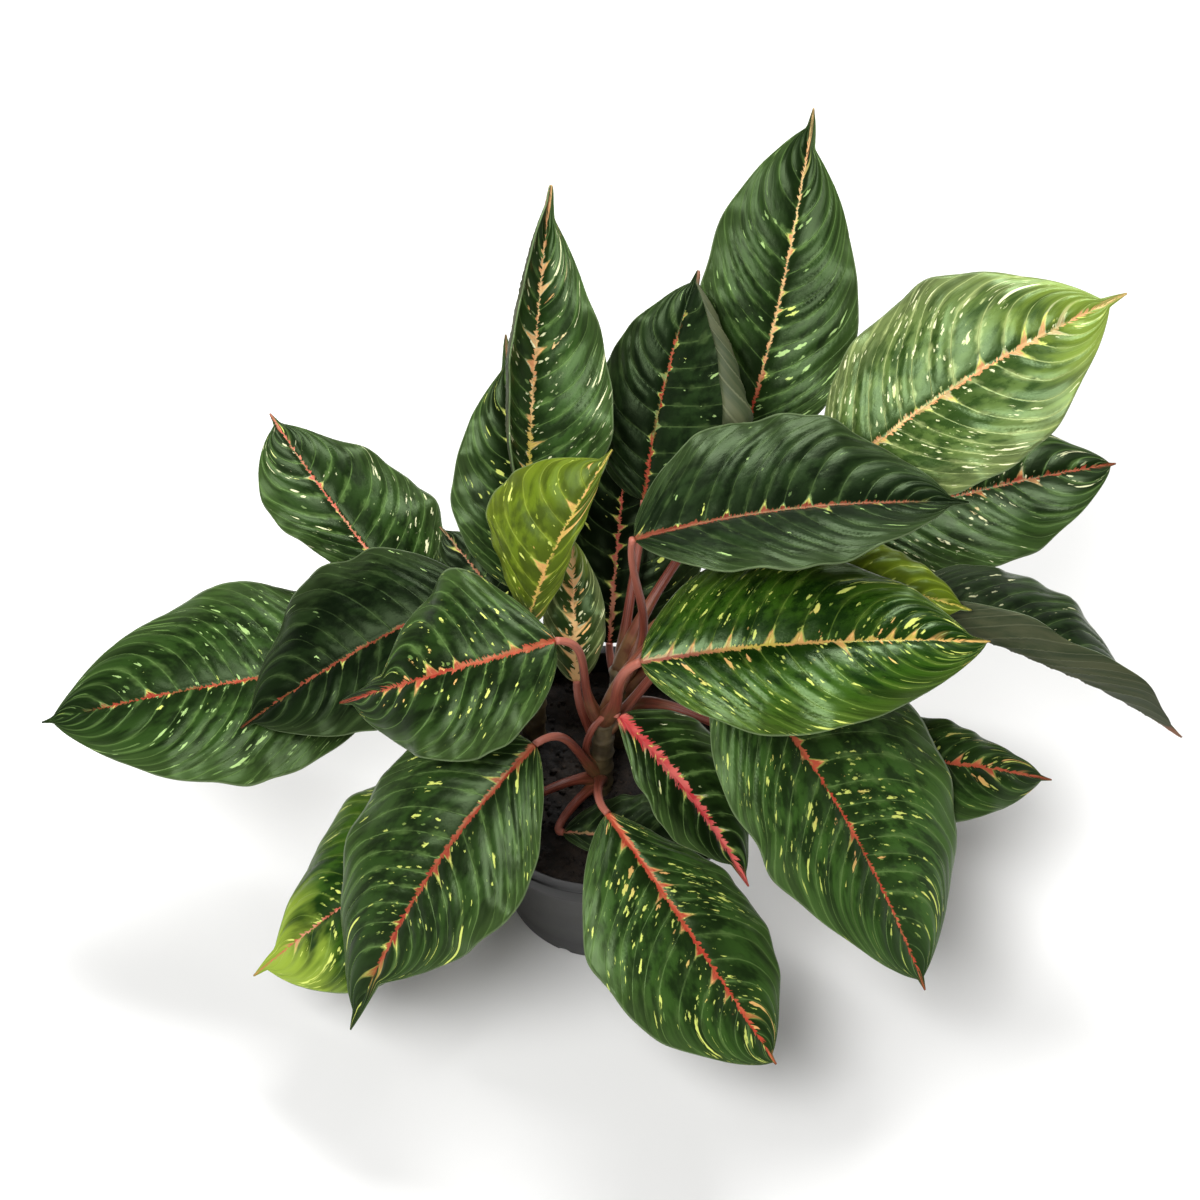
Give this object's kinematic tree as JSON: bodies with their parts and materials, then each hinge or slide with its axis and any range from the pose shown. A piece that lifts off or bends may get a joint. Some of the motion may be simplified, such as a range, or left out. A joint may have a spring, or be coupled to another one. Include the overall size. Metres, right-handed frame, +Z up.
{
  "type": "potted ruby aglaonema",
  "caption": "Bushy potted aglaonema: broad dark green leaves with pink and red midribs and pale flecks, on pink stalks, in a round black nursery pot of soil.",
  "frame": {"origin": "the middle of the pot's flat underside, which stands on the floor", "axes": "+Z up; -Y toward the viewer of the picture, the plant's front; +X to the viewer's right, along the widest spread of the leaves"},
  "size_m": [0.6096, 0.4125, 0.3657],
  "materials": {
    "pot": "satin",
    "soil": "matte",
    "stem": "satin",
    "leaf": "satin",
    "young_leaf": "satin"
  },
  "bodies": {
    "root": {"pot": "pot", "soil": "soil", "shoot_front": "stem", "shoot_rear": "stem", "shoot_left": "stem", "leaf_01": "leaf", "leaf_02": "leaf", "leaf_03": "leaf", "leaf_04": "leaf", "leaf_05": "leaf", "leaf_06": "leaf", "leaf_07": "leaf", "leaf_08": "leaf", "leaf_09": "young_leaf", "leaf_10": "leaf", "leaf_11": "leaf", "leaf_12": "leaf", "leaf_13": "leaf", "leaf_14": "leaf", "leaf_15": "leaf", "leaf_16": "leaf", "leaf_17": "leaf", "leaf_18": "leaf", "leaf_19": "leaf", "leaf_20": "young_leaf", "leaf_21": "leaf", "leaf_22": "leaf", "leaf_23": "leaf", "leaf_24": "leaf", "leaf_25": "leaf"}
  },
  "joints": []
}
